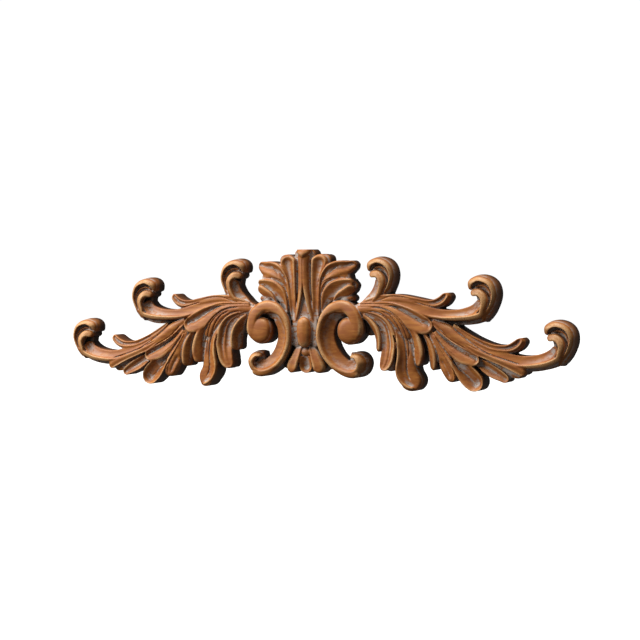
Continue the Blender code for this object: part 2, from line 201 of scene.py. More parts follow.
def blade(profile, *rows, round_root=False):
    """Carves one blade. Each row, from root to tip, is x, z, half width and crest height in mm, and a
    fifth number where the section is cut deeper there than drawn, or shallower."""
    rows = [tuple(row) + (1,) * (5 - len(row)) for row in rows]
    length = np.hypot(*np.diff(np.array(rows)[:, :2], axis=0).T).sum()
    cells = max(FEWEST_ALONG, round(length / ALONG_STEP))
    rows, length = even_rows(rows, cells + 1)
    heading = np.gradient(rows[:, :2], axis=0)
    heading /= np.linalg.norm(heading, axis=1, keepdims=True)

    bpy.ops.mesh.primitive_grid_add(x_subdivisions=cells, y_subdivisions=ACROSS_CELLS, size=1)
    piece = bpy.context.object
    flat = np.zeros(len(piece.data.vertices) * 3)
    piece.data.vertices.foreach_get("co", flat)
    flat = flat.reshape(-1, 3)
    along, across = flat[:, 0] + 0.5, 2 * flat[:, 1]
    row = np.round(along * cells).astype(int)

    closed = closing(along, rows, length, round_root)
    inner = across * np.sqrt(1 - closed**2)
    outward = np.hypot(inner, closed)
    share = 0.5 + 0.5 * inner / np.maximum(outward, 0.001)
    drop = share * drop_at(profile, outward) + (1 - share) * drop_at(profile, -outward)
    drop *= rows[row, 4]
    drop += EDGE_EASE * np.maximum(0, (outward - EASED_FROM) / (1 - EASED_FROM)) ** 3
    reach = rows[row, 2] * across * np.maximum(NARROWEST, np.sqrt(1 - closed**2))
    place = np.stack([rows[row, 0] - heading[row, 1] * reach, drop - rows[row, 3],
                      rows[row, 1] + heading[row, 0] * reach], axis=1)
    piece.data.vertices.foreach_set("co", (place * MM).ravel())

    bpy.ops.object.mode_set(mode="EDIT")
    bpy.ops.mesh.select_all(action="SELECT")
    bpy.ops.mesh.extrude_region_move()
    bpy.ops.transform.resize(value=(1, 0, 1), center_override=(0, BEHIND_WALL * MM, 0))
    bpy.ops.mesh.select_all(action="SELECT")
    bpy.ops.mesh.normals_make_consistent(inside=False)
    bpy.ops.object.mode_set(mode="OBJECT")
    blades.append(piece)


bpy.ops.object.select_all(action="DESELECT")
print("a blade has", ACROSS_CELLS, "cells across and one for every", ALONG_STEP, "mm along")

# %% [markdown]
# The palmette stands on the middle line. The real one has a folded leaf in front, its tip rolled
# over, and three pairs of lobes behind it that lean out and drop away from the eye. Only the right
# half is carved here.

# %% Palmette
def palmette():
    blade(FRONT, (14, -2, 2.2, 23), (10.6, 9, 2.8, 25.5), (7, 25, 3.4, 26.5), (5, 38, 4, 27),
          (4, 50, 4.6, 27), (3.8, 65, 4.4, 27), (4, 78, 4.6, 26.5), (5.5, 88, 5.5, 25))
    blade(ROLL, (0, 92.65, 11.5, 26), (0, 88, 9.5, 28.5), (0, 84, 5.5, 28.5), (0, 80, 1.5, 26))
    blade(FLAT, (-6, 86.2, 6, 19), (6, 86.2, 6, 19.5), (15.4, 86, 5.8, 18.5))
    blade(LOBE, (17, -2, 4, 21, 0.3), (17.5, 15, 5, 23, 0.35), (18, 30, 6, 24.5, 0.4),
          (18.7, 45, 7, 25.3, 0.55), (20.3, 58, 8.7, 25.5, 0.8), (22.6, 69, 11, 25.5),
          (24.6, 78, 13, 25.3), (25.5, 86.3, 12.5, 24.8))
    blade(FLAT, (26, 66, 9, 18), (29.5, 78, 8.3, 18.5), (30, 86, 7.8, 18))
    blade(BEAK, (22, 30, 3, 22.5, 0.5), (25, 44, 3.8, 24.3, 0.8), (28.5, 51.2, 5.5, 25.2),
          (34, 57.5, 8.4, 25.8), (41, 62.6, 11.2, 25.5), (50, 65.8, 11.5, 24), (60, 67.6, 9.8, 21, 0.8),
          (67, 70.3, 7.2, 17.5, 0.7), (73.3, 72, 4.8, 14, 0.6))
    blade(STEP, (29, 8, 4, 22, 0.6), (30.5, 20, 5.8, 23.5), (34, 29.5, 8.4, 24.6), (38.5, 36.6, 9.2, 25),
          (46, 43.3, 8, 24.8), (56, 46.8, 6.6, 24), (64, 48.4, 4.8, 23, 0.8), (70.6, 48.6, 4.2, 21.5, 0.5))
    blade(FLAP, (42, 18, 2.5, 21), (46, 25.5, 3.2, 22.8), (51, 31, 4.6, 23.6), (58.5, 35, 6, 23.8),
          (65, 39, 6, 23.4), (71, 43.6, 5.2, 22))
    blade(FLAT, (56, 42, 6, 13), (66, 43.5, 7, 13), (73.8, 45, 6, 12))
    blade(ROLL, (46, 19, 4, 19), (57, 26, 4.6, 20), (71, 27.8, 4.6, 18))
    blade(FLAT, (16, -4, 7, 18), (21, 18, 9, 19.5), (28, 36, 11, 20.5), (40, 50, 10, 22.3),
          (54, 54.5, 8, 21.5), (66, 53, 6, 17.5))
    blade(FLAT, (36, 14, 8, 17), (50, 28, 9, 17), (64, 36, 7, 14))


palmette()
print("palmette blades:", len(blades))

# %% [markdown]
# Below the palmette sits a plain egg-shaped bead between the scrolls, and under it a collar with a
# little hanging calyx. The bead is one short blade that is round at both ends.

# %% Bead and calyx
def middle():
    blade(BEAD, (0, 3, 8, 29.5), (0, -16, 10.5, 30.4), (0, -38.5, 8, 29), round_root=True)
    blade(ROLL, (0, -37, 11, 18), (0, -44, 11, 22), (0, -52, 9, 21))
    blade(SCOOP, (0, -50, 7, 22, 0.6), (0, -60, 9, 22), (0, -72.5, 9, 21))
    blade(PETAL, (9, -36, 4.5, 21), (12.5, -44, 6, 23), (16, -53, 7, 24.5), (19.8, -62, 8.2, 25),
          (22.3, -72.3, 7.4, 24.5))
    blade(FLAT, (9, 14, 5, 21), (12, 0, 6, 22), (13.5, -16, 5, 22), (14, -38, 6, 21))
    blade(FLAT, (2, 2, 7, 22), (4, 20, 6, 22), (7, 42, 4, 21), (9, 62, 3.5, 20.5), (9.5, 82, 3, 20))


middle()
print("with the middle:", len(blades))

# %% [markdown]
# The C scroll is the boldest form. It begins as a rolled eye, goes over the top as a broad band,
# comes down as a thin rim with a deep trough inside it, and ends below in a small hooked foot.

# %% C scroll
def c_scroll():
    blade(EYE, (66, 3, 17, 29.3), (66, -15, 17.5, 29.6), (66, -34, 17, 29.3), round_root=True)
    blade(BAND, (61, -30, 3, 25), (71.5, -26, 5.8, 28), (78, -18, 7.3, 29.2), (78.3, -8, 8, 29.5),
          (73, 7.5, 8.2, 29.5), (59, 17, 7.6, 28.5), (43, 15, 7, 29), (29.5, 4.5, 4.5, 29.5),
          (22.5, -12, 3, 29.5), (22, -30, 2.8, 29), (28.5, -48, 2.8, 28), (41.5, -63, 3, 27),
          (56, -71.8, 3.8, 26), (69, -74, 4.4, 26), (80, -70, 5, 26))
    blade(TROUGH, (66, 5, 3, 24), (54, 6, 5, 27), (42, 3.5, 8.5, 28.3), (33.5, -10, 9.8, 28.8),
          (31.8, -25, 10.3, 28.8), (36.5, -42, 10.8, 28.5), (47, -55.5, 10, 27.5),
          (61, -63.5, 8.5, 26.5, 0.9), (71, -64.5, 6.5, 26, 0.7), (78, -60, 4.5, 25.5, 0.5))
    blade(FOOT, (58, -74, 3, 25), (71, -73.3, 5, 26), (80.5, -68, 6.3, 27), (84, -58, 6.8, 28),
          (80, -50.5, 6.2, 28), (73, -47.3, 4.4, 27), (64.5, -48.5, 3.6, 24))
    blade(FLAT, (58, -65, 8, 18.5), (68, -62, 8.5, 18.5), (75, -57, 7, 18.5))
    blade(FLAT, (72, -46, 7, 16.5), (68.5, -58, 6.5, 16.5))


c_scroll()
print("with the C scroll:", len(blades))

# %% [markdown]
# Behind the scroll a spray of leaves fans out and lies down along the board. Each leaf is a shallow
# gouge cut with one crisp edge, or two, and the long one runs right out to the stem of the last
# curl. Their edges overlap as feathers do, so every blade starts under its neighbour.

# %% Leaves
def leaves():
    blade(LEFT_CREST, (86, 4, 3, 25, 0.4), (93, -1, 4, 25.6, 0.7), (99, -8.5, 5.8, 26.2, 1.1),
          (103.4, -17, 6.6, 26.5, 1.35), (105.8, -28, 6.4, 26.5, 1.4), (105.4, -43, 5.8, 26, 1.4))
    blade(VEINED, (80, 9.5, 2.5, 25, 0.4), (104, 2.5, 5, 27, 0.7), (117, -9, 8, 28),
          (121.8, -30, 10.1, 28.3), (121, -45, 10, 28.2, 0.7), (118, -57, 9, 27.8, 0.5),
          (112, -66.5, 5, 26.8, 0.4))
    blade(ROLL, (126, -40, 5, 21), (125, -52, 6.5, 22.5), (121.5, -60, 8, 22.5), (119, -68.3, 8.5, 21))
    blade(HANGING, (86, 15, 2.5, 25, 0.4), (104, 10.5, 2.8, 27, 0.4), (120, 5, 4.5, 27.5, 0.6),
          (131, -4, 6.5, 28), (139, -16, 8.5, 28.3), (145, -30, 10, 28.5), (147.3, -45, 11, 28.5),
          (147.7, -61, 12.9, 28.2), (149.6, -71.5, 13.4, 27.8), (154.6, -81, 13.6, 27.2),
          (160, -92.2, 12, 26))
    blade(ROLL, (133.5, -30, 1, 26, 0.4), (136.8, -44, 1.8, 27.8, 0.4), (136.3, -53, 2, 28.2, 0.4),
          (135, -61, 2.1, 28.5, 0.4), (134.9, -69, 2.2, 28.6, 0.4), (137.3, -76.5, 2.3, 28.6, 0.4),
          (143, -83.8, 2.3, 28.2, 0.4), (150, -88.2, 2.1, 27.2, 0.4), (157, -89.8, 1.5, 25, 0.4))
    blade(ROOT, (74, 12, 4, 23.5), (86, 13.2, 4.2, 25.3), (104, 13, 4.5, 26.5), (124, 6, 5.5, 26.5),
          (140, -7, 7, 26), (152, -24, 7, 24))
    blade(LEFT_CREST, (138, 2, 3, 26, 0.5), (148, -8, 5.5, 27, 0.7), (157, -20, 7, 27.5, 0.75),
          (162.5, -33, 7.2, 28, 0.75), (164.3, -46, 7.2, 28, 0.75), (163, -60.5, 4.5, 27, 0.75))
    blade(SPOON, (82, 19, 2, 24.5, 0.4), (96, 19.3, 2.2, 26, 0.5), (113.5, 18.5, 3.5, 27, 0.7),
          (129, 15, 6.3, 27.3), (146, 5.6, 10.8, 27.6), (159, -2.3, 12.6, 27.6),
          (172, -7.8, 11.4, 27.3), (184.6, -9, 9, 26.5))
    blade(LEFT_CREST, (169, -16, 2.5, 25, 0.6), (176, -28, 5.3, 26), (180.6, -40, 6.5, 26.8),
          (182.6, -52, 6.6, 26.8), (183, -66, 5.2, 25.5))
    blade(SPREAD, (180, -16, 3, 24, 0.4), (189, -30, 6.6, 25.5, 0.7), (197, -45, 9, 26.3),
          (202, -58, 10, 26.8), (206.5, -69, 8.9, 27), (211.5, -80.2, 5.8, 26.6))
    blade(SCOOP, (187, -20, 2, 26, 0.4), (200, -37, 4, 27.3, 0.7), (213, -51, 7, 28),
          (224, -62, 10.5, 28, 1.2), (235, -74, 13, 28, 1.35), (249.5, -88, 10.5, 27, 1.35))
    blade(SPOON, (188, -15, 3, 25, 0.5), (202, -29, 7, 26), (214, -38, 9.5, 27), (228, -46.5, 10.5, 28),
          (247.5, -54, 6.5, 27.5))
    blade(SHALLOW, (246, -54, 5.5, 23), (256, -60.5, 7.2, 24, 1.3), (266, -66.3, 7.8, 25, 1.3),
          (276, -71.5, 6.6, 25), (285.5, -77.5, 4.4, 24.5))
    blade(BROAD, (184, -2, 4, 25), (204, -14, 8, 26.5), (220, -25, 7.6, 27.3), (238, -35.7, 6.6, 27.6),
          (258, -44.8, 5.4, 27.6), (280, -53.6, 5.3, 27.3), (297, -60.5, 6.3, 27),
          (309.5, -67.5, 6.2, 26.5))
    blade(FLAT, (245, -50, 5, 20), (265, -58, 7.5, 20.5), (285, -65.5, 7.5, 20), (303, -70, 5, 19))


leaves()
print("with the leaves:", len(blades))

# %% [markdown]
# Two small buds turn up from the stems, each a scoop with a rounded lip.

# %% Buds
def buds():
    blade(BUD, (84, 20, 2.5, 23.5, 0.2), (98, 24, 3.6, 24.5, 0.15), (112, 27, 4.4, 25, 0.12),
          (135, 27.4, 5, 25.5, 0.12), (158, 23.6, 5, 25.3, 0.15), (175.5, 20.1, 5.1, 25, 0.4),
          (187, 19.8, 6.2, 24.8, 0.8), (195.5, 22.8, 6.8, 24.8), (201, 27.8, 6.2, 24.6),
          (204.3, 33.8, 4.8, 24))
    blade(BUD, (212, -8, 3, 24, 0.3), (228, -19, 4, 24.5, 0.3), (245, -28.5, 4.6, 25, 0.3),
          (264, -35.6, 4.8, 25, 0.4), (279, -37.6, 5.3, 25, 0.6), (288.5, -36.6, 6.3, 25, 0.9),
          (296, -33, 6.8, 25), (300.8, -28.3, 6, 24.6), (303, -23.2, 4.8, 24))


buds()
print("with the buds:", len(blades))

# %% [markdown]
# Three hooked curls crown each side. All three are the same hook: a rounded band that turns over the
# top, a tongue that turns inside it, and a deep channel that runs down the stem between them. So the
# hook is drawn once, below its highest point, and placed three times, each with a stem of its own.

# %% Curls
def curl(top_x, top_z, tall, low, ridge, channel, underside):
    """A hooked curl below its top point, on its stem's rows. It is stretched in height by one factor
    and lies lower than the middle curl by some mm."""

    def placed(*rows):
        return [(top_x + x, top_z + z * tall, half_width, crest - low, *depth)
                for x, z, half_width, crest, *depth in rows]

    band = placed((8, -60, 2, 23), (14.2, -52, 2.8, 25.5), (19.6, -43.5, 3, 27), (23, -36, 3, 27.3),
                  (25, -28.5, 3, 27.5), (24.4, -20.5, 3.5, 27.7), (20.8, -12.3, 3.9, 27.9),
                  (14, -6.8, 4.1, 28), (4.5, -4.2, 4.1, 28), (-3.6, -6, 4.7, 27.4),
                  (-8.3, -9.8, 4.7, 26.4, 0.7), (-9.8, -14.8, 3.6, 24.6, 0.6),
                  (-8.8, -20, 2.6, 22, 0.5))
    tongue = placed((7.3, -51, 3.6, 29.2), (10.6, -44, 3.9, 29.8), (12.4, -36, 4.2, 30),
                    (11.6, -30, 4.5, 30), (8.3, -25, 4.7, 29.4), (2.5, -22.3, 4.8, 28.4),
                    (-8, -23.4, 4.8, 25))
    floor = placed((12, -55, 3, 20), (19, -44, 3.4, 21), (20.6, -30, 4, 20.5), (16, -18, 5, 19.5),
                   (6, -13.5, 5, 19), (-5, -17, 4.5, 18))
    ring = placed((11, -57, 1, 21), (17.6, -46, 1.3, 23.5), (20.4, -36, 1.4, 24), (20, -27, 1.4, 23.6),
                  (16.2, -19, 1.4, 23), (10, -14.6, 1.4, 22.5), (3, -14, 1.4, 22), (-3.5, -17, 1.2, 21))
    hook = placed((3, -52, 6, 15), (7, -40, 8, 15), (6, -28, 8.5, 15), (1, -20, 7, 15), (-7, -17, 6, 15))
    heel = placed((2, -9, 5, 17), (-7, -11.5, 5.5, 17), (-8, -20, 4.7, 17))
    bend = placed((0, -50.5, 2.6, 22.5), (5, -46.5, 3, 24), (8, -40, 3, 24))
    blade(CURL_BAND, *band)
    blade(TONGUE, *ridge, *tongue)
    blade(CHANNEL, *channel)
    blade(ROLL, *[(x, z, half_width, crest, 0.3) for x, z, half_width, crest in ring])
    for backing in (floor, underside, hook, heel, bend):
        blade(FLAT, *backing)


def curls():
    curl(102, 82, 1, 2.6,
         ridge=[(98, 17, 2, 22), (103.5, 24.5, 3, 25.5)],
         channel=[(76, 15, 4, 22.5, 0.4), (85, 18.5, 5, 23, 0.7), (93, 24, 6.6, 24.3, 1.1),
                  (99.6, 31, 6.5, 25.3, 1.4), (103.6, 38.5, 5.8, 25.8, 1.5), (105.8, 46, 5, 25.8, 1.5),
                  (105, 53, 3.5, 25, 1.3)],
         underside=[(84, 14, 6, 17), (98, 25, 8.5, 16), (107, 36, 9.3, 16), (110, 48, 9, 16)])
    curl(243.4, 57.2, 1, 0,
         ridge=[(160, 11, 1.6, 26.2), (176, 4.6, 1.8, 26.4), (190, 1.9, 2.1, 26.8), (206, 0.8, 2.5, 27.4),
                (222, 1, 3, 28.2), (238, 2.3, 3.4, 28.7)],
         channel=[(88, 19, 3, 24.5, 0.3), (104, 22, 3.6, 25.6, 0.3), (128, 22.6, 4.6, 26, 0.3),
                  (150, 19.4, 5, 26.2, 0.3), (175, 11.6, 6.4, 26.4, 0.4), (196, 7, 6, 26.4, 0.6),
                  (216, 7, 5.6, 26.4, 0.8), (232, 9.8, 6.2, 26.4, 1.2), (242, 15, 6.4, 26.2, 1.6),
                  (247.5, 24.5, 4.8, 25, 1.7)],
         underside=[(186, -1, 4, 17), (215, -2, 5, 17), (236, -0.5, 6, 18), (251.4, 6, 6.5, 18),
                    (261.4, 17, 7, 18)])
    curl(343.9, -0.5, 0.95, 0,
         ridge=[(290, -57.5, 2, 26), (305, -59.2, 2.6, 27.2), (322, -58.2, 3.1, 28.2),
                (337, -55.4, 3.4, 28.7)],
         channel=[(216, -12, 4, 25, 0.4), (236, -26.5, 5, 25.7, 0.4), (258, -38, 5.4, 26, 0.4),
                  (285, -47.5, 5.4, 26.2, 0.5), (304, -51.3, 5.8, 26.2, 0.7), (320, -50.5, 6, 26.4, 0.9),
                  (332.5, -47.3, 6.1, 26.4, 1.2), (342, -42, 6.1, 26, 1.6), (347.5, -33.5, 4.6, 25, 1.7)],
         underside=[(296, -59, 5, 17), (315, -60, 5.5, 17), (333, -57, 6, 18), (347.5, -51, 6.5, 18),
                    (357.5, -42, 7, 18)])


curls()
print("with the curls:", len(blades))

# %% [markdown]
# Between the leaves the carver stops short of the wall and leaves a low ground, which holds the thin
# forms together. It shows only as the dark bottom of the gaps.

# %% Ground
def ground():
    blade(FLAT, (0, 70, 16, 12), (0, 30, 22, 12), (0, -10, 24, 12), (0, -66, 20, 11))
    blade(FLAT, (10, 10, 12, 12), (30, 34, 18, 12), (50, 52, 12, 12))
    blade(FLAT, (78, 12, 9, 21.5), (92, 12, 8.5, 22), (106, 6, 8, 20.5), (118, -4, 7, 18))
    blade(FLAT, (96, 0, 6, 20.5), (107, -12, 5, 20), (113.5, -26, 4.5, 18.5), (114, -40, 4, 16))
    blade(FLAT, (89, -2, 8, 12), (91, -22.3, 6, 11.5))
    blade(FLAT, (160, 6, 5, 21.5), (178, 0, 5, 21.5), (200, -5, 5, 20))
    blade(FLAT, (174, -12, 6, 20), (188, -13, 6, 20.5), (200, -20, 5, 20))
    blade(FLAT, (24, -30, 10, 12), (30, -58, 8, 12), (36, -66, 5, 12))
    blade(FLAT, (80, 8, 12, 15), (110, 12, 16, 16), (140, 10, 18, 16), (180, 2, 14, 16))
    blade(FLAT, (88, 0, 8, 14), (110, -14, 12, 14), (125, -40, 12, 14))
    blade(FLAT, (110, -5, 14, 14), (138, -18, 18, 14), (150, -40, 18, 14), (155, -56, 12, 14))
    blade(FLAT, (168, -10, 12, 17), (184, -34, 13, 16.5), (194, -56, 8, 15))
    blade(FLAT, (190, -10, 12, 14), (220, -40, 14, 14), (240, -60, 10, 14))
    blade(FLAT, (200, -10, 8, 14), (245, -38, 9, 14), (290, -54, 7, 14))


ground()
print("all blades:", len(blades))

# %% [markdown]
# The blades still pass through each other. Wood doesn't, so they are joined and fused into one skin
# with a voxel remesh, whose cells are small enough to keep every gouge edge. A boolean union could do
# it too, but it fails where many thin forms touch. A light smooth takes off the steps of the cells, as
# scraping does on wood.

# %% Fuse the blades
FUSE_SIZE = 0.75


def apply_modifier(piece, name, kind, **settings):
    modifier = piece.modifiers.new(name, kind)
    for key, value in settings.items():
        setattr(modifier, key, value)
    bpy.ops.object.modifier_apply(modifier=name)


def fuse():
    bpy.ops.object.select_all(action="DESELECT")
    for piece in blades:
        piece.select_set(True)
    bpy.context.view_layer.objects.active = blades[0]
    bpy.ops.object.join()
    carving = bpy.context.object
    carving.name = "carved_relief"
    apply_modifier(carving, "fuse", "REMESH", mode="VOXEL", voxel_size=FUSE_SIZE * MM)
    print("fused skin, points:", len(carving.data.vertices))
    apply_modifier(carving, "scrape", "SMOOTH", factor=0.5, iterations=2)
    return carving


carving = fuse()

# %% [markdown]
# The finest lines on the real piece are single cuts of a narrow gouge: the veins of the leaves and
# the deep lines where one form meets the next. They are too thin to be blades, so each one presses
# the skin in along its own line, deepest in its middle and running out at both ends.

# %% Gouge lines
CUT_STEP = 0.8
CUT_FADE = 6.0
CUT_SHARPNESS = 1.2
CUT_LOWEST = 2


def skin_places(mesh):
    places = np.zeros(len(mesh.vertices) * 3)
    mesh.vertices.foreach_get("co", places)
    return places.reshape(-1, 3) / MM


def cut(places, depth, half_width, *points):
    """Presses the skin in along a smooth line, but for the foot of the sawn edge."""
    length = np.hypot(*np.diff(np.array(points), axis=0).T).sum()
    line, length = even_rows(points, max(4, round(length / CUT_STEP)))
    low, high = line.min(axis=0) - half_width, line.max(axis=0) + half_width
    plan = places[:, [0, 2]]
    near = np.flatnonzero(((plan > low) & (plan < high)).all(axis=1) & (places[:, 1] < -CUT_LOWEST))
    if not len(near):
        return
    gaps = np.hypot(*(plan[near, None] - line[None]).transpose(2, 0, 1))
    nearest = gaps.argmin(axis=1)
    inside = gaps.min(axis=1) / half_width
    along = nearest / (len(line) - 1) * length
    fade = np.clip(np.minimum(along, length - along) / CUT_FADE, 0, 1)
    places[near, 1] += depth * fade * np.clip(1 - inside, 0, 1) ** CUT_SHARPNESS


def gouge_lines(places):
    """The veins and the deep lines between neighbours. Each is a depth, a half width and its line."""
    hanging_leaf_veins = (
        (2.4, 1.5, (112, 11), (124, 6), (130, 0), (136, -8), (140.5, -18), (144, -28), (146, -38),
         (147, -50), (146.8, -62), (148, -72), (152, -80)),
        (1.8, 1.2, (122, 10), (134.5, 2), (142.5, -8), (146.5, -18), (149.5, -30), (150.5, -42),
         (149.5, -52)))
    between_leaves = (
        (2.2, 1.5, (92, 9.8), (104, 9.5), (114, 6), (122, 0), (128, -7), (132.5, -17), (134.3, -28),
         (134.5, -42), (132, -54)),
        (2.4, 1.5, (98, 15.8), (112, 14.8), (124, 11), (135, 4), (144, -5), (151, -15), (156, -27),
         (158, -42)),
        (2.6, 1.4, (189, -23), (199, -36), (209, -50), (218, -62), (226, -69)),
        (2.8, 1.3, (209.5, -60), (214.3, -67), (215.5, -77)))
    long_leaf_lines = (
        (1.8, 1.1, (191, -9), (199, -17), (208, -25), (219, -31), (232, -37.5)),
        (2.6, 1.4, (207, -5), (220, -17), (232, -26.3), (243, -34), (258, -42.3), (275, -48.5),
         (290, -52.8), (303, -56.8)))
    stem_lines = (
        (2.0, 1.2, (158, 22.5), (168, 20), (182, 16.5), (196, 12.6)),
        (1.2, 1.1, (104, 23.5), (114, 26), (125, 29.7), (140, 29.4), (154, 27)),
        (1.0, 1.2, (236, -22.5), (250, -30), (266, -36.3)),
        (1.2, 1.3, (230, -30.5), (250, -39.5), (270, -45.8)))
    fine_veins = (
        (1.2, 1.5, (222, -64), (232, -74), (241, -83)),
        (1.0, 1.2, (157, 4), (166, -3), (175, -10)),
        (1.0, 1.2, (254, -59), (264, -65), (274, -70.5)))
    palmette_lines = (
        (1.2, 1.0, (20, 40), (22.5, 52), (27, 63), (32.5, 71)),
        (1.2, 1.0, (24, 42), (31, 50), (42, 54), (58, 55.5)))
    broad_hollows = (
        (2.6, 4.5, (195, -50), (202, -62), (206, -70), (208.8, -77)),
        (1.5, 2.0, (52, 71.5), (46, 68), (40, 62), (37, 56)))
    all_lines = (hanging_leaf_veins + between_leaves + long_leaf_lines + stem_lines + fine_veins
                 + palmette_lines + broad_hollows)
    for depth, half_width, *points in all_lines:
        cut(places, depth, half_width, *points)
    print("gouge lines:", len(all_lines))


places = skin_places(carving.data)
gouge_lines(places)
carving.data.vertices.foreach_set("co", (places * MM).ravel())
carving.data.update()

# %% [markdown]
# The stain, the wax and the wear all follow the form: grey wax stays in the hollows, the low hollows
# are painted dark as shade over a dark glaze, and the raised edges are rubbed pale. So the skin's own
# relief is measured here. Its height over the wall is laid out on a fine map, the map is blurred, and
# each point's height over the blurred one says how much it stands proud or lies low among its
# neighbours.

# %% Height map
MAP_CELL = 0.8
MAP_EDGE = 12
LEAST_WOOD = 0.05


def soften(picture, radius):
    """A blur of the given radius, in cells."""
    reach = math.ceil(3 * radius)
    weights = np.exp(-0.5 * (np.arange(-reach, reach + 1) / radius) ** 2)
    weights /= weights.sum()
    for axis in (0, 1):
        picture = np.apply_along_axis(np.convolve, axis, picture, weights, mode="same")
    return picture


class Relief:
    """The height of the skin over the wall, mirrored to both halves, in mm."""

    def __init__(self, places):
        both = np.vstack([places, places * (-1, 1, 1)])
        self.low = both[:, [0, 2]].min(axis=0) - MAP_EDGE
        size = (both[:, [0, 2]].max(axis=0) + MAP_EDGE - self.low) / MAP_CELL
        self.height = np.zeros(np.ceil(size).astype(int) + 1)
        cells = np.round((both[:, [0, 2]] - self.low) / MAP_CELL).astype(int)
        np.maximum.at(self.height, (cells[:, 0], cells[:, 1]), -both[:, 1])
        beside = [np.roll(self.height, shift, axis) for shift in (-1, 1) for axis in (0, 1)]
        closed_in = (self.height <= 0) & (np.min(beside, axis=0) > 0)
        self.height = np.where(closed_in, np.max(beside, axis=0), self.height)

    def read(self, picture, places):
        """The picture's value over each place, between its cells."""
        at = (places[:, [0, 2]] - self.low) / MAP_CELL
        base = np.clip(np.floor(at).astype(int), 0, np.array(picture.shape) - 2)
        share = at - base
        total = 0
        for step_x, step_z in ((0, 0), (1, 0), (0, 1), (1, 1)):
            weight_x = share[:, 0] if step_x else 1 - share[:, 0]
            weight_z = share[:, 1] if step_z else 1 - share[:, 1]
            total = total + weight_x * weight_z * picture[base[:, 0] + step_x, base[:, 1] + step_z]
        return total

    def proud(self, places, radius, wood_only):
        """How far each place stands above its surroundings within the radius, in mm. The open air round
        the outline counts as low surroundings, unless only the wood is to count."""
        level = soften(self.height, radius / MAP_CELL)
        if wood_only:
            level /= np.maximum(soften((self.height > 0).astype(float), radius / MAP_CELL), LEAST_WOOD)
        return -places[:, 1] - self.read(level, places)

    def enclosed(self, places, radius):
        """The share of wood within the radius: one inside the carving, and a half along its outline."""
        return self.read(soften((self.height > 0).astype(float), radius / MAP_CELL), places)


relief = Relief(places)
print("height map:", relief.height.shape)

# %% [markdown]
# The real back is plain. So the skin is thinned where it is smooth, cut at the wall and filled flat
# there, then cut at the middle line and mirrored. A face that lies in the middle plane itself would
# stay as a wall inside the wood, so it is taken out before the mirror closes the seam. Last, the skin
# is set into the solid's box, a twentieth of a millimetre inside it.

# %% Mirror, close and fit
THINNED_FACES = 106000
SEAM = 0.02 * MM
INSET = 0.05


def finish_skin(carving):
    share = THINNED_FACES / (2 * len(carving.data.polygons))
    apply_modifier(carving, "thin", "DECIMATE", ratio=min(1, share))
    bpy.ops.object.mode_set(mode="EDIT")
    bpy.ops.mesh.select_mode(type="EDGE")
    bpy.ops.mesh.select_all(action="SELECT")
    bpy.ops.mesh.bisect(plane_co=(0, 0, 0), plane_no=(0, 1, 0), clear_outer=True)
    bpy.ops.mesh.select_all(action="DESELECT")
    bpy.ops.mesh.select_non_manifold(extend=False)
    bpy.ops.mesh.fill(use_beauty=True)
    bpy.ops.mesh.select_all(action="SELECT")
    bpy.ops.mesh.bisect(plane_co=(0, 0, 0), plane_no=(-1, 0, 0), clear_outer=True, threshold=SEAM / 2)
    bpy.ops.object.mode_set(mode="OBJECT")
    for vert in carving.data.vertices:
        if abs(vert.co.x) < SEAM:
            vert.co.x = 0
    bm = bmesh.new()
    bm.from_mesh(carving.data)
    in_seam = [face for face in bm.faces if all(vert.co.x == 0 for vert in face.verts)]
    bmesh.ops.delete(bm, geom=in_seam, context="FACES")
    bm.to_mesh(carving.data)
    bm.free()
    apply_modifier(carving, "left half", "MIRROR", use_axis=(True, False, False), merge_threshold=SEAM)
    bpy.ops.object.mode_set(mode="EDIT")
    bpy.ops.mesh.select_all(action="SELECT")
    bpy.ops.mesh.quads_convert_to_tris()
    bpy.ops.mesh.normals_make_consistent(inside=False)
    bpy.ops.object.mode_set(mode="OBJECT")


def fit_to_solid(carving, low, high):
    places = skin_places(carving.data)
    own_low, own_high = places.min(axis=0), places.max(axis=0)
    low, high = low / MM + INSET, high / MM - INSET
    high[1] = 0
    fitted = low + (places - own_low) * (high - low) / (own_high - own_low)
    carving.data.vertices.foreach_set("co", (fitted * MM).ravel())
    carving.data.update()
    return places


finish_skin(carving)
drawn_places = fit_to_solid(carving, cad_low, cad_high)
bm = bmesh.new()
bm.from_mesh(carving.data)
open_edges = sum(1 for edge in bm.edges if not edge.is_manifold)
bm.free()
print("faces:", len(carving.data.polygons), "open edges:", open_edges)

# %% [markdown]
# What was measured is stored on the skin's points as attributes, which a material reads back and an
# export keeps. How far each point stands out of the wall is stored, and the wood is painted darker
# towards the wall as shade. How far each point faces out of the wall is stored as well, because the
# sawn sides are painted dark for the shade they lie in. The fine radius is a gouge's width, and the
# broad one a leaf's.

# %% Relief attributes
FINE_RADIUS = 3
BROAD_RADIUS = 9
CREASE = 50


def store(mesh, name, values):
    attribute = mesh.attributes.new(name, "FLOAT", "POINT")
    attribute.data.foreach_set("value", values.astype(np.float32))


store(carving.data, "proud_fine", relief.proud(drawn_places, FINE_RADIUS, True))
store(carving.data, "proud_broad", relief.proud(drawn_places, BROAD_RADIUS, False))
store(carving.data, "enclosed", relief.enclosed(drawn_places, FINE_RADIUS))
# Read by the material to paint the wood darker towards the wall as shade.
store(carving.data, "out_of_wall", -drawn_places[:, 1])
# Read by the material to paint shade on the sawn sides.
facing = np.zeros(len(carving.data.vertices) * 3)
carving.data.vertices.foreach_get("normal", facing)
store(carving.data, "faces_out", -facing.reshape(-1, 3)[:, 1])
bpy.ops.object.select_all(action="DESELECT")
carving.select_set(True)
bpy.context.view_layer.objects.active = carving
bpy.ops.object.shade_smooth_by_angle(angle=math.radians(CREASE))
stored = [attribute.name for attribute in carving.data.attributes if attribute.data_type == "FLOAT"]
print("attributes:", stored)

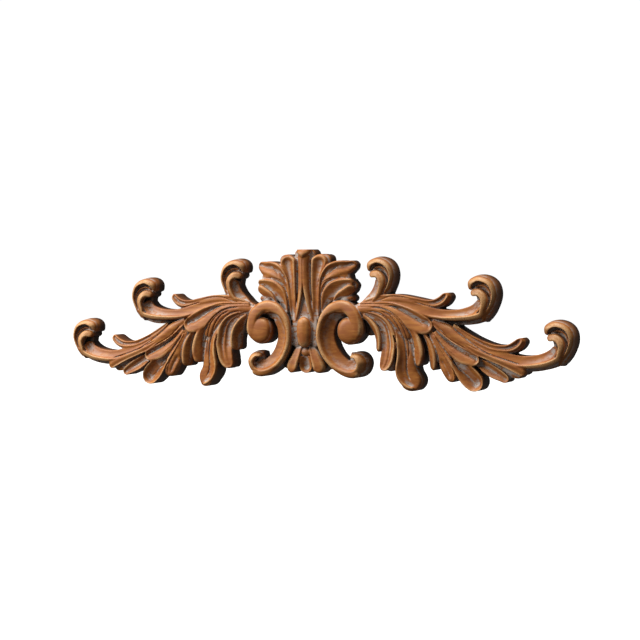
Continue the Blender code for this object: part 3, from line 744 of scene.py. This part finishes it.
# %% [markdown]
# Colours are picked as sRGB hex values, as a stain chart gives them, and one function turns them to
# the linear values that the shader works in.

# %% Colours and a node helper
def linear(hex_colour):
    channels = [int(hex_colour[i:i + 2], 16) / 255 for i in (1, 3, 5)]
    return tuple(c / 12.92 if c <= 0.04045 else ((c + 0.055) / 1.055) ** 2.4 for c in channels) + (1,)


def add_node(tree, kind, links=None, **settings):
    """Adds a node. Settings set its properties or sockets, and links feed its inputs."""
    node = tree.nodes.new(kind)
    for key, value in settings.items():
        if hasattr(node, key):
            setattr(node, key, value)
        else:
            node.inputs[key.replace("_", " ")].default_value = value
    for socket, source in (links or {}).items():
        tree.links.new(source, node.inputs[socket])
    return node


print("stain brown, linear:", [round(channel, 3) for channel in linear("#8A4D1C")[:3]])

# %% [markdown]
# The finish is a stained and waxed hardwood. The stain is a warm brown, the proud edges were rubbed
# back to a paler tone, and a film of grey wax stayed in the shallow scoops. Each of those is a mask
# from the measured relief, broken up by noise. Over them, painted shade darkens the wood towards the
# wall, in the deep hollows over a dark glaze, and on the sawn sides. To the eye that gives a satin
# brown with pale lines on the edges, soft grey in the troughs and near-black shade in the recesses.
# The grain runs along the board, 40 mm long and 4 mm wide. That is coarser than real pores, which
# would be too fine to show here. The stain is blotchy over 22 mm, the wax lies in streaks of 7 by
# 3.5 mm, and the wear is broken up by specks of 1 mm. A scale is a thousand over the size in mm.
# Satin wax scatters about half of its gloss, and its IOR is a little below bare wood's.

# %% Stained and waxed wood, with painted shade
GRAIN_SCALE = (25, 250, 250)
BLOTCH_SCALE = 45
STREAK_SCALE = (150, 280, 280)
SPECK_SCALE = 900
GRAIN_DEPTH = 0.4 * MM
SATIN_ROUGHNESS = 0.5
WAX_IOR = 1.38


# The wood's colour, with painted shade in the hollows, towards the wall and on the sawn sides.
def waxed_wood_with_painted_shade():
    material = bpy.data.materials.new("waxed_wood_with_painted_shade")
    material.use_nodes = True
    tree = material.node_tree
    shader = tree.nodes["Principled BSDF"]
    coordinates = add_node(tree, "ShaderNodeTexCoord").outputs["Object"]
    fine = add_node(tree, "ShaderNodeAttribute", attribute_name="proud_fine").outputs["Fac"]
    broad = add_node(tree, "ShaderNodeAttribute", attribute_name="proud_broad").outputs["Fac"]
    enclosed = add_node(tree, "ShaderNodeAttribute", attribute_name="enclosed").outputs["Fac"]
    out_of_wall = add_node(tree, "ShaderNodeAttribute", attribute_name="out_of_wall").outputs["Fac"]
    faces_out = add_node(tree, "ShaderNodeAttribute", attribute_name="faces_out").outputs["Fac"]

    grain_place = add_node(tree, "ShaderNodeMapping", {"Vector": coordinates}, Scale=GRAIN_SCALE)
    grain = add_node(tree, "ShaderNodeTexNoise", {"Vector": grain_place.outputs[0]}, Scale=1.0,
                     Detail=6, Roughness=0.6).outputs[0]
    blotch = add_node(tree, "ShaderNodeTexNoise", {"Vector": coordinates}, Scale=BLOTCH_SCALE,
                      Detail=4).outputs[0]
    streak_place = add_node(tree, "ShaderNodeMapping", {"Vector": coordinates}, Scale=STREAK_SCALE)
    streak = add_node(tree, "ShaderNodeTexNoise", {"Vector": streak_place.outputs[0]}, Scale=1.0,
                      Detail=5, Roughness=0.65).outputs[0]
    speck = add_node(tree, "ShaderNodeTexNoise", {"Vector": coordinates}, Scale=SPECK_SCALE,
                     Detail=3).outputs[0]

    def mask(value, low, high):
        return add_node(tree, "ShaderNodeMapRange", {"Value": value}, interpolation_type="SMOOTHSTEP",
                        From_Min=low, From_Max=high).outputs[0]

    def mixed(factor, a, b):
        node = add_node(tree, "ShaderNodeMix", {"Factor": factor}, data_type="RGBA")
        for index, colour in ((6, a), (7, b)):
            if isinstance(colour, str):
                node.inputs[index].default_value = linear(colour)
            else:
                tree.links.new(colour, node.inputs[index])
        return node.outputs[2]

    def combined(operation, a, b):
        node = add_node(tree, "ShaderNodeMath", operation=operation)
        for index, value in enumerate((a, b)):
            if isinstance(value, (int, float)):
                node.inputs[index].default_value = value
            else:
                tree.links.new(value, node.inputs[index])
        return node.outputs[0]

    def share_of(amount, share):
        return combined("MULTIPLY", amount, share)

    within = mask(enclosed, 0.58, 0.8)
    stain_and_deep_shade = mixed(mask(grain, 0.35, 0.65), "#8A4D1C", "#A3662B")
    stain_and_deep_shade = mixed(share_of(mask(blotch, 0.35, 0.75), 0.6), stain_and_deep_shade, "#7A4016")
    # Painted shade: the wood is painted darker towards the wall, near black at its foot, for the shade
    # deep in the carving.
    stain_and_deep_shade = mixed(share_of(mask(out_of_wall, 20, 0), 0.85), stain_and_deep_shade, "#2A170B")
    worn_edge = share_of(mask(fine, 0.3, 2.2), mask(speck, 0.25, 0.6))
    worn = mixed(share_of(worn_edge, 0.75), stain_and_deep_shade, "#C59D6C")
    hollow = combined("MAXIMUM", mask(fine, -0.3, -1.3), mask(broad, -0.8, -2.8))
    waxed_hollow = share_of(hollow, mask(streak, 0.38, 0.52))
    waxed = mixed(share_of(share_of(waxed_hollow, within), 0.82), worn, "#A79F97")
    # Painted shade: the low hollows are painted near black, partly a dark glaze and partly the shade that
    # falls in them.
    lying_low = combined("ADD", share_of(fine, 0.6), share_of(broad, 0.5))
    hollow_glaze_and_shade = share_of(mask(lying_low, -1.2, -5.5), within)
    glazed_and_shaded = mixed(share_of(hollow_glaze_and_shade, 0.88), waxed, "#1F1007")
    # Painted shade: the sawn sides, which don't face out of the wall, are painted dark for the shade they
    # lie in.
    side_shaded = mixed(share_of(mask(faces_out, 0.25, -0.1), 0.72), glazed_and_shaded, "#2A1406")
    tree.links.new(side_shaded, shader.inputs["Base Color"])
    shader.inputs["Roughness"].default_value = SATIN_ROUGHNESS
    shader.inputs["IOR"].default_value = WAX_IOR

    height = combined("ADD", share_of(speck, 0.5), grain)
    bump = add_node(tree, "ShaderNodeBump", {"Height": height}, Strength=0.25, Distance=GRAIN_DEPTH)
    tree.links.new(bump.outputs[0], shader.inputs["Normal"])
    return material


carving.data.materials.clear()
carving.data.materials.append(waxed_wood_with_painted_shade())
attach(carving, "root")
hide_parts("carved_ornament")
wood_and_shade_material = carving.data.materials[0]
print("finish:", wood_and_shade_material.name, "of", len(wood_and_shade_material.node_tree.nodes), "nodes")

# %% [markdown]
# The ornament hangs well above a pale floor. The floor is as white as the surroundings, as in a
# product photograph, and lies far enough below that no shadow of the wood falls in view. One softbox
# high on the left models the relief, and the white around it fills the shadows a little. A soft sun
# from above keeps the floor bright, and the floor sends no light back up onto the wood.

# %% Floor, surroundings and light
FLOOR_DROP = 1.5
FLOOR_SIZE = 60.0
FILL_LIGHT = 0.13
SEEN_WHITE = 1.05
KEY_ENERGY = 43
KEY_SIZE = 0.8
KEY_PLACE = (-1.25, -1.1, 0.85)
SUN_ENERGY = 4.6
SUN_SOFTNESS = 25
SUN_PLACE = (-0.5, -0.6, 3.0)


def aimed(light, place, target=(0, 0, 0)):
    light.location = place
    light.rotation_euler = (Vector(target) - Vector(place)).to_track_quat("-Z", "Y").to_euler()


def pale_floor():
    bpy.ops.mesh.primitive_plane_add(size=FLOOR_SIZE, location=(0, 0, -FLOOR_DROP))
    floor = bpy.context.object
    floor.name = "floor"
    floor.visible_diffuse = False
    floor.visible_glossy = False
    material = bpy.data.materials.new("pale_floor_paint")
    material.use_nodes = True
    shader = material.node_tree.nodes["Principled BSDF"]
    shader.inputs["Base Color"].default_value = linear("#F7F7F5")
    shader.inputs["Roughness"].default_value = 0.9
    floor.data.materials.append(material)
    floor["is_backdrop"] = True


def white_surroundings():
    world = bpy.data.worlds.new("white surroundings")
    bpy.context.scene.world = world
    world.use_nodes = True
    tree = world.node_tree
    background = tree.nodes["Background"]
    background.inputs["Color"].default_value = (1, 1, 1, 1)
    seen = add_node(tree, "ShaderNodeLightPath").outputs["Is Camera Ray"]
    strength = add_node(tree, "ShaderNodeMapRange", {"Value": seen}, To_Min=FILL_LIGHT,
                        To_Max=SEEN_WHITE)
    tree.links.new(strength.outputs[0], background.inputs["Strength"])


def lights():
    bpy.ops.object.light_add(type="AREA")
    key = bpy.context.object
    key.name = "key softbox"
    key.data.energy = KEY_ENERGY
    key.data.size = KEY_SIZE
    aimed(key, KEY_PLACE)
    bpy.ops.object.light_add(type="SUN")
    sun = bpy.context.object
    sun.name = "floor light"
    sun.data.energy = SUN_ENERGY
    sun.data.angle = math.radians(SUN_SOFTNESS)
    aimed(sun, SUN_PLACE)


pale_floor()
white_surroundings()
lights()
bpy.context.scene.view_settings.view_transform = "Standard"
